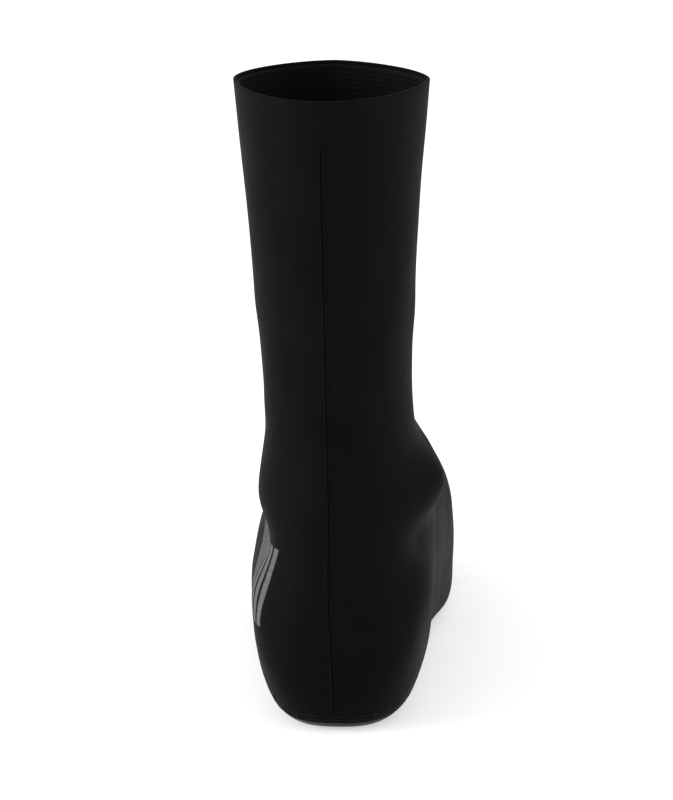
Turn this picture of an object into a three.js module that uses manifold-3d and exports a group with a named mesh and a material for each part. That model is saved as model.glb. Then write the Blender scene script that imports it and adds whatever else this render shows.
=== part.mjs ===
// Overshoe for a left cycling shoe: a slip-on fabric cover with a tall shaft, in millimetres.
// Z is up, the toe points along +Y and +X is the inner side of the foot.
// The upper is one hollow wall over the form of the shoe. A coated panel with two openings closes it
// underneath, and a thin gripper band lines the collar.
import * as THREE from "three";
import { mergeVertices } from "three/addons/utils/BufferGeometryUtils.js";
import Module from "manifold-3d";

const wasm = await Module();
wasm.setup();

// Driving dimensions
const footLength = 284; // back of the heel to the tip of the toe
const shaftHeight = 270.5; // floor to the collar's rim
const instepHeight = 136; // floor to the bend where the instep meets the front of the shaft
const heelHeight = 79; // floor to the top of the heel's round part
const collarWidth = 83.2; // across the rim
const collarDepth = 86; // front to back of the rim
const shaftSetback = 61; // back of the heel to the shaft's centre line
const ankleWidth = 63.2; // across the narrowest part of the shaft
const heelWidth = 76.4; // across the heel's round part
const ballWidth = 87.6; // across the ball of the foot
const shaftLean = 5.5; // the shaft leans this far to the outer side at the rim
const toeSway = 11; // the instep's ridge runs this far to the inner side
const archRise = 4; // the sole's waist stands this far off the floor
const toeSpring = 12; // the sole rises this far under the end of the toe
const toeHeight = 56.5; // thickness of the foot at the root of the toes
const boneRise = 4.2; // the ankle bones stand out this far
const hollowDepth = 5.2; // depth of the hollows below the ankle bones
const wall = 1.2; // fabric of the upper
const seamWidth = 2.4; // raised seam down the back
const seamRise = 0.4; // it stands this far proud of the fabric
const panelThickness = 1.6; // coated panel under the foot
const panelTurnUp = 4; // the panel's edge lies this far above the middle of the sole
const bandHeight = 16.5; // gripper band inside the collar
const bandThickness = 0.8;
const bandInset = 1.5; // the band stops this far under the rim
const cleatOpeningSetback = 190; // back of the heel to the middle of the opening under the ball
const cleatOpeningLength = 66;
const cleatOpeningWidth = 52;
const cleatOpeningRadius = 20; // its corners
const heelOpeningSetback = 46; // back of the heel to the middle of the opening under the heel
const heelOpeningLength = 32;
const heelOpeningWidth = 28;
const heelOpeningRadius = 12; // its corners
const fit = 0.3; // clearance between the pieces

// Sections of the shaft, from the rim down. The ends of each section lie sideways in shaftLeans, ahead
// of the shaft's centre line in collarDepths, and above the instep in rises from there to the rim.
// Then the middle in shaftLeans, the width that the section follows and the half width in it, the
// widest line as a share of the way from back to front, and how square the front and back halves are.
const shaftRise = shaftHeight - instepHeight;
const shaftSections = [
  // name, side, ahead, up, backSide, backAhead, backUp, middle, follows, half, widest, front and back square
  ["collar", 0.55, 0.5, 1, 1, -0.5, 1, 0.53, collarWidth, 0.5, 0.57, 1.6, 1.85],
  ["calf", 0.55, 0.512, 0.788, 1, -0.453, 0.788, 0.45, collarWidth, 0.469, 0.55, 1.8, 2],
  ["shin", 0.36, 0.523, 0.528, 0.91, -0.384, 0.528, 0.33, ankleWidth, 0.565, 0.52, 2, 2.1],
  ["lowShin", 0.27, 0.547, 0.305, 0.82, -0.326, 0.283, 0.22, ankleWidth, 0.532, 0.5, 2, 2.1],
  ["ankle", 0.18, 0.593, 0.119, 0.73, -0.291, 0.059, 0.15, ankleWidth, 0.509, 0.48, 2, 2.1],
];

// Sections that turn round the heel. Sideways places are in toeSways, places ahead of the heel in
// footLengths and the front's height in instepHeights. The back's height is in the size it follows.
const heelSections = [
  // name, side, ahead, up, backSide, backAhead, backSize, backUp, middle, follows, half, widest, squares
  ["throat", -0.1, 0.4155, 1, -0.32, 0.123, instepHeight, 0.882, 0, ankleWidth, 0.502, 0.46, 1.93, 2.1],
  ["bone", 0.05, 0.44, 0.915, -0.23, 0.0915, instepHeight, 0.72, 0.11, ankleWidth, 0.518, 0.46, 1.85, 2.1],
  ["counterTop", 0.24, 0.465, 0.857, -0.18, 0.049, heelHeight, 1, 0.5, heelWidth, 0.468, 0.45, 1.8, 2.2],
  ["counter", 0.47, 0.4894, 0.8125, -0.14, 0.016, heelHeight, 0.734, 0.4, heelWidth, 0.484, 0.42, 1.92, 2.4],
  ["heel", 0.68, 0.514, 0.776, 0, 0, heelHeight, 0.456, 0.3, heelWidth, 0.508, 0.36, 2, 3],
  ["heelBase", 0.82, 0.535, 0.746, 0.09, 0.014, heelHeight, 0.101, 0.25, heelWidth, 0.498, 0.38, 2, 2.5],
];

// Sections along the sole, with the same shares above. The end under the foot is in archRises, and
// what would lie below zero is trodden flat on the floor.
const soleSections = [
  // name, side, ahead, up, underSide, underAhead, underUp, middle, follows, half, widest, squares
  ["heelTread", 0.91, 0.556, 0.72, 0.18, 0.07, -0.4, 0.24, heelWidth, 0.474, 0.4, 2, 3],
  ["heelFront", 1, 0.5775, 0.695, 0.14, 0.169, -0.45, 0.22, heelWidth, 0.492, 0.38, 2.05, 3.2],
  ["waist", 1, 0.602, 0.669, 0, 0.282, 0.375, 0.16, ballWidth, 0.441, 0.37, 2.1, 3.9],
  ["arch", 0.99, 0.634, 0.643, 0, 0.394, 1, 0.15, ballWidth, 0.461, 0.35, 2.1, 3.9],
  ["foreWaist", 0.95, 0.6725, 0.61, 0, 0.5035, 0.625, 0.08, ballWidth, 0.494, 0.33, 2.25, 4.2],
  ["ballBack", 0.71, 0.718, 0.5735, 0, 0.6056, -0.3, 0.15, ballWidth, 0.51, 0.31, 2, 4.6],
  ["ball", 0.62, 0.7676, 0.533, 0.05, 0.697, -0.55, 0.17, ballWidth, 0.498, 0.28, 2.2, 4.5],
  ["toesBack", 0.54, 0.824, 0.485, 0.14, 0.7817, -0.3, 0.16, ballWidth, 0.474, 0.32, 2.25, 4],
];

// Sections of the toe: the end under the foot in toeSprings, the end on top above it in toeHeights.
// The last section is the point where the two meet.
const toeSections = [
  // name, side, ahead, up, underSide, underAhead, underUp, middle, follows, half, widest, squares
  ["toes", 0.46, 0.88, 1, 0.23, 0.866, 0.25, 0.22, ballWidth, 0.422, 0.37, 2.25, 3.4],
  ["toeCap", 0.5, 0.9296, 0.805, 0.32, 0.926, 0.583, 0.31, ballWidth, 0.361, 0.42, 2.2, 3],
  ["toeEnd", 0.45, 0.968, 0.5575, 0.41, 0.97, 1, 0.4, ballWidth, 0.274, 0.47, 2.15, 2.6],
  ["toeNose", 0.47, 0.991, 0.301, 0.45, 0.993, 1.417, 0.47, ballWidth, 0.16, 0.5, 2.1, 2.2],
  ["toeTip", 0.49, 1, 0, 0.49, 1, 2.083, 0.49, ballWidth, 0, 0.5, 2, 2],
];

// Swellings and hollows of the two sides. Side is -1 on the outer and 1 on the inner side, the place
// ahead and its spread are in footLengths, the height and its spread in instepHeights.
const swellings = [
  // side, ahead, spreadAhead, up, spreadUp, follows, out
  [-1, 0.218, 0.077, 0.676, 0.103, boneRise, 0.81],
  [1, 0.246, 0.077, 0.706, 0.11, boneRise, 1],
  [-1, 0.169, 0.106, 0.544, 0.081, hollowDepth, -1],
  [1, 0.176, 0.106, 0.551, 0.081, hollowDepth, -1],
  [1, 0.72, 0.14, 0.03, 0.09, boneRise, 0.3],
  [1, 0.69, 0.12, 0.34, 0.12, boneRise, -0.3],
];

// All sections as rows of lengths: front point, back point, middle, half width, then the widest line
// and the squareness as they are
const rows = [];
for (const [, side, ahead, up, backSide, backAhead, backUp, ...rest] of shaftSections) {
  const [middle, follows, half, ...form] = rest;
  rows.push([
    -side * shaftLean,
    shaftSetback + ahead * collarDepth,
    instepHeight + up * shaftRise,
    -backSide * shaftLean,
    shaftSetback + backAhead * collarDepth,
    instepHeight + backUp * shaftRise,
    -middle * shaftLean,
    half * follows,
    ...form,
  ]);
}
for (const [, side, ahead, up, backSide, backAhead, backSize, backUp, ...rest] of heelSections) {
  const [middle, follows, half, ...form] = rest;
  rows.push([
    side * toeSway,
    ahead * footLength,
    up * instepHeight,
    backSide * toeSway,
    backAhead * footLength,
    backUp * backSize,
    middle * toeSway,
    half * follows,
    ...form,
  ]);
}
const firstSoleRow = rows.length;
for (const [, side, ahead, up, underSide, underAhead, underUp, ...rest] of soleSections) {
  const [middle, follows, half, ...form] = rest;
  rows.push([
    side * toeSway,
    ahead * footLength,
    up * instepHeight,
    underSide * toeSway,
    underAhead * footLength,
    underUp * archRise,
    middle * toeSway,
    half * follows,
    ...form,
  ]);
}
for (const [, side, ahead, up, underSide, underAhead, underUp, ...rest] of toeSections) {
  const [middle, follows, half, ...form] = rest;
  rows.push([
    side * toeSway,
    ahead * footLength,
    underUp * toeSpring + up * toeHeight,
    underSide * toeSway,
    underAhead * footLength,
    underUp * toeSpring,
    middle * toeSway,
    half * follows,
    ...form,
  ]);
}
const lastRow = rows.length - 1;

// The table runs on straight above the rim. Past the toe its last full row comes again turned over,
// top for underside and with its width negative, so that the tip closes round.
const aboveRim = rows[0].map((value, k) => 2 * value - rows[1][k]);
const [topX, topY, topZ, underX, underY, underZ, noseMiddle, noseHalf, ...noseForm] = rows[lastRow - 1];
const pastToe = [underX, underY, underZ, topX, topY, topZ, noseMiddle, -noseHalf, ...noseForm];
const knots = [aboveRim, ...rows, pastToe];

// Section at station u, counted in rows from the rim, on a Catmull-Rom curve through the table
function section(u) {
  const i = Math.min(Math.max(Math.floor(u), 0), lastRow - 1);
  const t = u - i;
  return knots[i].map((a, k) => {
    const [b, c, d] = [knots[i + 1][k], knots[i + 2][k], knots[i + 3][k]];
    const bend = 2 * a - 5 * b + 4 * c - d;
    const twist = 3 * b - a - 3 * c + d;
    return 0.5 * (2 * b + (c - a) * t + bend * t ** 2 + twist * t ** 3);
  });
}

// Point on the form at station u and an angle round the section: 0 at the front, pi at the back and
// the inner side between them. A section is a rounded square, drawn in polar form about its middle.
function formPoint(u, angle) {
  const [frontX, frontY, frontZ, backX, backY, backZ, middle, half, widest, ...squares] = section(u);
  const cos = Math.cos(angle);
  const sin = Math.sin(angle);
  const square = THREE.MathUtils.lerp(squares[1], squares[0], 0.5 + 0.5 * cos);
  const reach = (Math.abs(cos) ** square + Math.abs(sin) ** square) ** (-1 / square);
  const end = cos > 0 ? [frontX, frontY, frontZ] : [backX, backY, backZ];
  const centre = [middle, backY + (frontY - backY) * widest, backZ + (frontZ - backZ) * widest];
  const [x, y, z] = centre.map((value, k) => value + Math.abs(cos) * reach * (end[k] - value));
  const out = sin * reach;
  let swell = 0;
  for (const [side, ahead, spreadAhead, up, spreadUp, follows, share] of swellings) {
    const dy = (y / footLength - ahead) / spreadAhead;
    const dz = (z / instepHeight - up) / spreadUp;
    const facing = side * sin > 0 ? out ** 2 : 0;
    swell += side * share * follows * facing * Math.exp(-(dy ** 2) - dz ** 2);
  }
  return new THREE.Vector3(x + out * Math.max(half, 0) + swell, y, Math.max(z, 0));
}

// Direction out of the form, from short steps along it and round it
const shortStep = 0.01;
function outward(u, angle) {
  if (u > lastRow - shortStep) {
    return new THREE.Vector3(0, 1, 0);
  }
  const along = formPoint(u + shortStep, angle).sub(formPoint(u - shortStep, angle));
  const around = formPoint(u, angle + shortStep).sub(formPoint(u, angle - shortStep));
  return around.cross(along).normalize();
}

// Angles of the columns round a section. Beside the one at the back stand two pairs, at the foot and
// the top of the seam's edges, which keep the seam's own width.
const ringColumns = 40;
const seamEdge = 0.3; // the seam's edge slopes over this width
const seamPlaces = [seamWidth / 2 + seamEdge / 2, seamWidth / 2 - seamEdge / 2];
const seamTop = shaftHeight - bandInset - bandHeight;
const seamHalf = (u) => Math.max(section(u)[7], ankleWidth / 2);
function ringAngles(u) {
  const turns = seamPlaces.map((place) => Math.asin(place / seamHalf(u)));
  const back = [-turns[0], -turns[1], 0, turns[1], turns[0]].map((turn) => Math.PI + turn);
  const columns = Array.from({ length: ringColumns }, (_, k) => (2 * Math.PI * k) / ringColumns);
  return [...columns.slice(0, ringColumns / 2), ...back, ...columns.slice(ringColumns / 2 + 1)];
}

// Height of the raised seam: it runs down the back from the gripper band's lower edge to the sole
function seamHeight(u, angle) {
  const onSeam = Math.cos(angle) < 0 && Math.abs(Math.sin(angle)) * seamHalf(u) < seamWidth / 2;
  const onBack = u < firstSoleRow && formPoint(u, Math.PI).z < seamTop;
  return onSeam && onBack ? seamRise : 0;
}

// Closed body over rings of points, with a flat cap on the first ring and a tip beyond the last
function bodyOverRings(rings, capCentre, tip) {
  const count = rings[0].length;
  const lastRing = (rings.length - 1) * count;
  const cap = rings.length * count;
  const point = cap + 1;
  const index = [];
  for (let k = 0; k < count; k++) {
    const next = (k + 1) % count;
    index.push(cap, next, k);
    for (let start = 0; start < lastRing; start += count) {
      const below = start + count;
      index.push(start + k, start + next, below + k);
      index.push(start + next, below + next, below + k);
    }
    index.push(lastRing + k, lastRing + next, point);
  }
  const geometry = new THREE.BufferGeometry().setFromPoints([...rings.flat(), capCentre, tip]);
  geometry.setIndex(index);
  return geometry;
}

// Solid for cutting and joining, from a closed geometry
function solidOf(geometry) {
  const bare = geometry.clone();
  bare.deleteAttribute("normal");
  bare.deleteAttribute("uv");
  const merged = mergeVertices(bare);
  const vertProperties = new Float32Array(merged.attributes.position.array);
  const triVerts = new Uint32Array(merged.index.array);
  return new wasm.Manifold(new wasm.Mesh({ numProp: 3, vertProperties, triVerts }));
}

// The whole form as a solid, set in by some depth and carried on some way above the rim, with or
// without the seam on it
const stationStep = 0.5;
const stations = Array.from({ length: lastRow / stationStep }, (_, k) => k * stationStep);
function formSolid(inset, above, seam) {
  const rings = stations.map((u) =>
    ringAngles(u).map((angle) => {
      const raise = seam ? seamHeight(u, angle) : 0;
      return formPoint(u, angle).addScaledVector(outward(u, angle), raise - inset);
    }),
  );
  rings[0].forEach((point) => point.setZ(shaftHeight));
  if (above > 0) {
    rings.unshift(rings[0].map((point) => point.clone().setZ(shaftHeight + above)));
  }
  const capCentre = new THREE.Vector3(-shaftLean, shaftSetback, shaftHeight + above);
  const tip = formPoint(lastRow, 0).addScaledVector(outward(lastRow, 0), -inset);
  return solidOf(bodyOverRings(rings, capCentre, tip));
}

// Everything under the feather line, where the panel meets the upper, lowered by some clearance.
// The line keeps the panel's turn-up above the middle of the sole and runs on past heel and toe.
const overrun = 20; // the line, and what it cuts with, reach this far past the form
const featherPoints = rows
  .slice(firstSoleRow, lastRow)
  .map(([, , , , underAhead, underUp]) => new THREE.Vector2(underAhead, Math.max(underUp, 0) + panelTurnUp));
const toeEnd = featherPoints.at(-1);
const toeSlope = toeEnd.clone().sub(featherPoints.at(-2)).normalize();
const featherLine = new THREE.SplineCurve([
  new THREE.Vector2(-overrun, panelTurnUp),
  ...featherPoints,
  toeEnd.clone().addScaledVector(toeSlope, overrun),
]);
const featherSteps = 40;
function underFeatherLine(lowered) {
  const edge = Array.from({ length: featherSteps + 1 }, (_, k) => {
    const tangent = featherLine.getTangentAt(k / featherSteps);
    const down = new THREE.Vector2(tangent.y, -tangent.x);
    return featherLine.getPointAt(k / featherSteps).addScaledVector(down, lowered);
  });
  const corners = [new THREE.Vector2(edge.at(-1).x, -overrun), new THREE.Vector2(edge[0].x, -overrun)];
  const depth = 2 * ballWidth;
  const profile = new THREE.Shape([...edge, ...corners]);
  const block = new THREE.ExtrudeGeometry(profile, { depth, bevelEnabled: false });
  block.translate(0, 0, -depth / 2);
  block.rotateX(Math.PI / 2);
  block.rotateZ(Math.PI / 2);
  return solidOf(block);
}

// Upright block through the panel for one of its openings, a rectangle with round corners
const soleMiddle = rows[firstSoleRow][6];
function openingBlock(setback, length, width, radius) {
  const [x, y] = [width / 2, length / 2];
  const outline = new THREE.Shape();
  outline.absarc(x - radius, y - radius, radius, 0, Math.PI / 2);
  outline.absarc(radius - x, y - radius, radius, Math.PI / 2, Math.PI);
  outline.absarc(radius - x, radius - y, radius, Math.PI, 1.5 * Math.PI);
  outline.absarc(x - radius, radius - y, radius, 1.5 * Math.PI, 2 * Math.PI);
  const depth = 2 * overrun;
  const block = new THREE.ExtrudeGeometry(outline, { depth, bevelEnabled: false, curveSegments: 7 });
  return solidOf(block.translate(soleMiddle, setback, -overrun));
}

// Upper: one wall over the whole form, open at the collar and above the panel
const upperSolid = formSolid(0, 0, true)
  .subtract(formSolid(wall, overrun, false))
  .subtract(underFeatherLine(0));

// Sole panel: the form's underside below the feather line, with its openings for cleat and heel
const panelSolid = formSolid(0, 0, false)
  .subtract(formSolid(panelThickness, overrun, false))
  .intersect(underFeatherLine(fit))
  .subtract(openingBlock(cleatOpeningSetback, cleatOpeningLength, cleatOpeningWidth, cleatOpeningRadius))
  .subtract(openingBlock(heelOpeningSetback, heelOpeningLength, heelOpeningWidth, heelOpeningRadius));

// Collar band: a thin ring that follows the inside of the upper's wall
const bandSpace = new THREE.BoxGeometry(2 * collarWidth, 2 * collarDepth, bandHeight);
bandSpace.translate(0, shaftSetback, seamTop + bandHeight / 2);
const bandSolid = formSolid(wall + fit, 0, false)
  .subtract(formSolid(wall + fit + bandThickness, overrun, false))
  .intersect(solidOf(bandSpace));

// Named mesh of one piece
function piece(name, solid, color, roughness) {
  const { vertProperties, triVerts } = solid.getMesh();
  const geometry = new THREE.BufferGeometry();
  geometry.setAttribute("position", new THREE.BufferAttribute(new Float32Array(vertProperties), 3));
  geometry.setIndex(new THREE.BufferAttribute(new Uint32Array(triVerts), 1));
  geometry.computeVertexNormals();
  const mesh = new THREE.Mesh(geometry, new THREE.MeshStandardMaterial({ color, roughness, metalness: 0 }));
  mesh.name = name;
  return mesh;
}

const overshoe = new THREE.Group();
overshoe.add(piece("upper", upperSolid, 0x17181a, 0.85));
overshoe.add(piece("sole_panel", panelSolid, 0x1d1e20, 0.6));
overshoe.add(piece("collar_band", bandSolid, 0x101113, 0.7));

// The origin lies on the floor under the middle of the shoe
const bounds = new THREE.Box3().setFromObject(overshoe);
const middle = bounds.getCenter(new THREE.Vector3());
overshoe.position.set(-middle.x, -middle.y, -bounds.min.z);

export default overshoe;
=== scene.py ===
"""Looks of a left cycling overshoe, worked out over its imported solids, in metres and in their frame.

The cover is a near-black stretch knit over the form of a shoe: one flat-locked seam runs down its back, a
coated panel with two bound openings closes it underneath, and a thin gripper tape lines its collar. Every
surface is a function of a station along the foot and an angle round it, worked out with numpy on a grid.
"""

import math

import bpy
import numpy as np
from bpy.props import FloatProperty, FloatVectorProperty, IntProperty, PointerProperty
from mathutils import Matrix, Vector


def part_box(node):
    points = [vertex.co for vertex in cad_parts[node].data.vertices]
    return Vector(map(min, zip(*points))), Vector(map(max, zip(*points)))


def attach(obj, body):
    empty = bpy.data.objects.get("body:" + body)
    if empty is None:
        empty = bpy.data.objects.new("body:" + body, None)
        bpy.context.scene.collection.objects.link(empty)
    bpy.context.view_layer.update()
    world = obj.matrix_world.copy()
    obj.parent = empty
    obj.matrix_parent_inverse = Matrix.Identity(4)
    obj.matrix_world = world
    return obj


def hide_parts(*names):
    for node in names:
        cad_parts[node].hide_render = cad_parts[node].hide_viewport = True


bl_info = {
    "name": "Cycling overshoe",
    "version": (1, 0, 0),
    "blender": (4, 5, 0),
    "location": "3D View > Sidebar > Overshoe",
    "description": "Makes a left cycling overshoe: knitted upper, coated sole panel and gripper tape",
    "category": "Add Mesh",
}

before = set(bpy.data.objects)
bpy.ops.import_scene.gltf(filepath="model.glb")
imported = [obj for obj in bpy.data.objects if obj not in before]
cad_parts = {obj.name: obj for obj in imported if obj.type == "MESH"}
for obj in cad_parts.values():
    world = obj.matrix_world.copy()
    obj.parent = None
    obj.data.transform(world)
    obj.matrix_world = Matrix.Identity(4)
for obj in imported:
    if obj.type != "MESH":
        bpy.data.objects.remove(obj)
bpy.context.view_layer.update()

MILLIMETRE = 0.001


# Settings


def length(name, description, millimetres):
    """Property that holds a length, given in millimetres"""
    return FloatProperty(
        name=name, description=description, default=millimetres * MILLIMETRE, unit="LENGTH", precision=5
    )


def colour(name, description, value):
    """Property that holds a linear colour"""
    return FloatVectorProperty(name=name, description=description, default=value, min=0, max=1, size=3, subtype="COLOR")


class OvershoeForm(bpy.types.PropertyGroup):
    """Sizes of the form inside the cover"""

    foot_length: length("Foot length", "Back of the heel to the tip of the toe", 284)
    shaft_height: length("Shaft height", "Floor to the collar's rim", 270.5)
    instep_height: length("Instep height", "Floor to the bend at the front of the ankle", 136)
    heel_height: length("Heel height", "Floor to the top of the heel's round part", 79)
    collar_width: length("Collar width", "Across the rim", 83.2)
    collar_depth: length("Collar depth", "Front to back of the rim", 86)
    shaft_setback: length("Shaft setback", "Back of the heel to the shaft's centre line", 61)
    ankle_width: length("Ankle width", "Across the narrowest part of the shaft", 63.2)
    heel_width: length("Heel width", "Across the heel's round part", 76.4)
    ball_width: length("Ball width", "Across the ball of the foot", 87.6)
    shaft_lean: length("Shaft lean", "How far the shaft leans to the outer side at the rim", 5.5)
    toe_sway: length("Toe sway", "How far the instep's ridge runs to the inner side", 11)
    arch_rise: length("Arch rise", "Height of the sole's waist off the floor", 4)
    toe_spring: length("Toe spring", "Rise of the sole under the end of the toe", 12)
    toe_height: length("Toe height", "Thickness of the foot at the root of the toes", 56.5)
    bone_rise: length("Ankle bones", "How far the ankle bones stand out", 4.2)
    hollow_depth: length("Hollows", "Depth of the hollows below the ankle bones", 5.2)


class OvershoeSewing(bpy.types.PropertyGroup):
    """Sizes of the cloth, the seam, the panel and the tape"""

    wall: length("Fabric", "Thickness of the upper's knit", 1.2)
    rim_round: length("Rim rounding", "Height of the round cut edge at the rim", 0.35)
    seam_width: length("Seam width", "Across the raised seam down the back", 2.4)
    seam_rise: length("Seam rise", "How far the seam stands proud of the fabric", 0.4)
    seam_groove: length("Seam groove", "Depth of the line where the two edges meet", 0.38)
    seam_end: length("Seam end", "Height above the panel's edge where the seam runs out", 7)
    fold_depth: length("Fold depth", "Depth of the soft creases of the cloth", 1)
    pucker_depth: length("Pucker depth", "Depth of the small gathers beside the seams", 0.13)
    pucker_spacing: length("Pucker spacing", "From one gather to the next", 8.5)
    stitch_length: length("Stitch length", "From one stitch to the next", 2.6)
    thread: length("Thread", "Thickness of the sewing thread", 0.34)
    panel_thickness: length("Panel thickness", "Coated panel under the foot", 1.6)
    panel_turn_up: length("Panel turn-up", "Height of the panel's edge above the middle of the sole", 4)
    binding_width: length("Binding width", "Band sewn round the two openings", 3.6)
    binding_rise: length("Binding rise", "How far the band stands proud of the panel", 0.5)
    band_height: length("Tape height", "Height of the gripper tape inside the collar", 16.5)
    band_thickness: length("Tape thickness", "Thickness of the gripper tape", 0.8)
    band_inset: length("Tape inset", "The tape stops this far under the rim", 1.5)
    cleat_setback: length("Cleat opening setback", "Back of the heel to the middle of the opening", 190)
    cleat_length: length("Cleat opening length", "Along the foot", 66)
    cleat_width: length("Cleat opening width", "Across the foot", 52)
    cleat_radius: length("Cleat opening corners", "Radius of its corners", 20)
    heel_setback: length("Heel opening setback", "Back of the heel to the middle of the opening", 46)
    heel_length: length("Heel opening length", "Along the foot", 32)
    heel_width: length("Heel opening width", "Across the foot", 28)
    heel_radius: length("Heel opening corners", "Radius of its corners", 12)
    fit: length("Clearance", "Gap between the pieces", 0.3)


class OvershoeFinish(bpy.types.PropertyGroup):
    """Colours and scales of the finishes"""

    knit: colour("Knit", "Near-black knit of the upper", (0.0026, 0.0026, 0.0028))
    knit_worn: colour("Knit, worn", "Where the knit is stretched and shows its core", (0.0036, 0.0036, 0.0039))
    inside: colour("Inside", "Brushed inner face of the knit", (0.0029, 0.0028, 0.0027))
    coating: colour("Coating", "Coated cloth of the sole panel", (0.0045, 0.0045, 0.005))
    tape: colour("Tape", "Gripper tape inside the collar", (0.0034, 0.0034, 0.0036))
    thread: colour("Thread", "Sewing thread", (0.004, 0.004, 0.0044))
    reflective: colour("Reflective bars", "Light grey bars on the outer side of the heel", (0.12, 0.116, 0.111))
    wale: length("Wale", "Width of one column of the knit", 0.85)
    course: length("Course", "Height of one row of the knit", 0.6)


class OvershoeStage(bpy.types.PropertyGroup):
    """Camera, light and floor"""

    distance: length("Camera distance", "From the heel, along the floor", 2500)
    elevation: FloatProperty(
        name="Elevation", description="Camera above the floor", default=math.radians(18), subtype="ANGLE"
    )
    azimuth: FloatProperty(
        name="Azimuth",
        description="Camera turned from straight behind to the inner side",
        default=math.radians(2.5),
        subtype="ANGLE",
    )
    pixels_across: IntProperty(name="Picture width", description="In pixels", default=673)
    pixels_up: IntProperty(name="Picture height", description="In pixels", default=800)
    pixels_per_millimetre: FloatProperty(name="Scale", description="Pixels a millimetre at the heel", default=2.35)
    target_across: FloatProperty(name="Heel across", description="Pixel where the heel stands", default=333)
    target_down: FloatProperty(name="Heel down", description="Pixel where the heel stands", default=728)
    sky: FloatProperty(name="Surround", description="Brightness of the white surround", default=1.02)
    outer_light: FloatProperty(name="Outer light", description="Power of the left soft box", default=24, unit="POWER")
    inner_light: FloatProperty(name="Inner light", description="Power of the right soft box", default=7, unit="POWER")


# The form of the shoe. A section runs from a front or top point to a back or bottom point. Its shares are in
# the named sizes, then come the width that it follows, the half width in it, the widest line as a share of
# the way from back to front, and how square the front and the back halves are.

SHAFT_SECTIONS = (
    # side, ahead, up, back side, back ahead, back up, middle, follows, half, widest, squares
    (0.55, 0.5, 1, 1, -0.5, 1, 0.53, "collar_width", 0.5, 0.57, 1.6, 1.85),
    (0.55, 0.512, 0.788, 1, -0.453, 0.788, 0.45, "collar_width", 0.469, 0.55, 1.8, 2),
    (0.36, 0.523, 0.528, 0.91, -0.384, 0.528, 0.33, "ankle_width", 0.565, 0.52, 2, 2.1),
    (0.27, 0.547, 0.305, 0.82, -0.326, 0.283, 0.22, "ankle_width", 0.532, 0.5, 2, 2.1),
    (0.18, 0.593, 0.119, 0.73, -0.291, 0.059, 0.15, "ankle_width", 0.509, 0.48, 2, 2.1),
)
HEEL_SECTIONS = (
    # side, ahead, up, back side, back ahead, size of the back's height, back up, middle, follows and the rest
    (-0.1, 0.4155, 1, -0.32, 0.123, "instep_height", 0.882, 0, "ankle_width", 0.502, 0.46, 1.93, 2.1),
    (0.05, 0.44, 0.915, -0.23, 0.0915, "instep_height", 0.72, 0.11, "ankle_width", 0.518, 0.46, 1.85, 2.1),
    (0.24, 0.465, 0.857, -0.18, 0.049, "heel_height", 1, 0.5, "heel_width", 0.468, 0.45, 1.8, 2.2),
    (0.47, 0.4894, 0.8125, -0.14, 0.016, "heel_height", 0.734, 0.4, "heel_width", 0.484, 0.42, 1.92, 2.4),
    (0.68, 0.514, 0.776, 0, 0, "heel_height", 0.456, 0.3, "heel_width", 0.508, 0.36, 2, 3),
    (0.82, 0.535, 0.746, 0.09, 0.014, "heel_height", 0.101, 0.25, "heel_width", 0.498, 0.38, 2, 2.5),
    (0.91, 0.556, 0.72, 0.18, 0.07, "arch_rise", -0.4, 0.24, "heel_width", 0.474, 0.4, 2, 3),
    (1, 0.5775, 0.695, 0.14, 0.169, "arch_rise", -0.45, 0.22, "heel_width", 0.492, 0.38, 2.05, 3.2),
    (1, 0.602, 0.669, 0, 0.282, "arch_rise", 0.375, 0.16, "ball_width", 0.441, 0.37, 2.1, 3.9),
    (0.99, 0.634, 0.643, 0, 0.394, "arch_rise", 1, 0.15, "ball_width", 0.461, 0.35, 2.1, 3.9),
    (0.95, 0.6725, 0.61, 0, 0.5035, "arch_rise", 0.625, 0.08, "ball_width", 0.494, 0.33, 2.25, 4.2),
    (0.71, 0.718, 0.5735, 0, 0.6056, "arch_rise", -0.3, 0.15, "ball_width", 0.51, 0.31, 2, 4.6),
    (0.62, 0.7676, 0.533, 0.05, 0.697, "arch_rise", -0.55, 0.17, "ball_width", 0.498, 0.28, 2.2, 4.5),
    (0.54, 0.824, 0.485, 0.14, 0.7817, "arch_rise", -0.3, 0.16, "ball_width", 0.474, 0.32, 2.25, 4),
)
TOE_SECTIONS = (
    # side, ahead, up from the underside, under side, under ahead, under up, middle, follows and the rest
    (0.46, 0.88, 1, 0.23, 0.866, 0.25, 0.22, "ball_width", 0.422, 0.37, 2.25, 3.4),
    (0.5, 0.9296, 0.805, 0.32, 0.926, 0.583, 0.31, "ball_width", 0.361, 0.42, 2.2, 3),
    (0.45, 0.968, 0.5575, 0.41, 0.97, 1, 0.4, "ball_width", 0.274, 0.47, 2.15, 2.6),
    (0.47, 0.991, 0.301, 0.45, 0.993, 1.417, 0.47, "ball_width", 0.16, 0.5, 2.1, 2.2),
    (0.49, 1, 0, 0.49, 1, 2.083, 0.49, "ball_width", 0, 0.5, 2, 2),
)
SWELLINGS = (
    # side (-1 outer, 1 inner), ahead and spread in foot lengths, up and spread in instep heights, follows, out
    (-1, 0.218, 0.077, 0.676, 0.103, "bone_rise", 0.81),
    (1, 0.246, 0.077, 0.706, 0.11, "bone_rise", 1),
    (-1, 0.169, 0.106, 0.544, 0.081, "hollow_depth", -1),
    (1, 0.176, 0.106, 0.551, 0.081, "hollow_depth", -1),
    (1, 0.72, 0.14, 0.03, 0.09, "bone_rise", 0.3),
    (1, 0.69, 0.12, 0.34, 0.12, "bone_rise", -0.3),
)
FIRST_SOLE_ROW = 11
LAST_ROW = 23
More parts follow.
